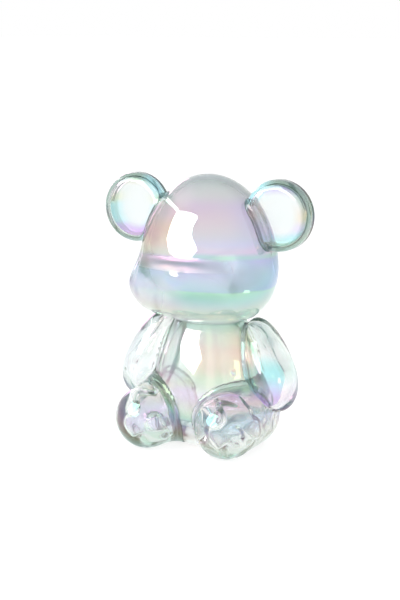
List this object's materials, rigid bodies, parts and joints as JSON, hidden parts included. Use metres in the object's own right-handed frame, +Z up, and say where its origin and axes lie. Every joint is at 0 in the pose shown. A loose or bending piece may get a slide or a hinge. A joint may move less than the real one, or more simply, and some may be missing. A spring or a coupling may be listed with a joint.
{
  "type": "crystal glass bear figurine",
  "caption": "Seated hollow glass bear figurine with round disc ears, egg-shaped head and body, teardrop arms and stubby legs, bonded from clear shells.",
  "frame": {"origin": "on the plane the figurine sits on, on its left-right middle line, under the body", "axes": "+Z up, -Y the way the bear faces, +X the bear's left side"},
  "size_m": [0.164, 0.1005, 0.1945],
  "materials": {
    "crystal": "polished clear crystal glass with a thin pearly iridescent coating",
    "clear_bond": "clear cured adhesive film"
  },
  "bodies": {
    "root": {"head_shell": "crystal", "ear_left": "crystal", "ear_right": "crystal", "torso_shell": "crystal", "arm_left": "crystal", "arm_right": "crystal", "leg_left": "crystal", "leg_right": "crystal", "neck_bond": "clear_bond", "ear_bond_left": "clear_bond", "ear_bond_right": "clear_bond", "arm_bond_left": "clear_bond", "arm_bond_right": "clear_bond", "leg_bond_left": "clear_bond", "leg_bond_right": "clear_bond"}
  },
  "joints": []
}
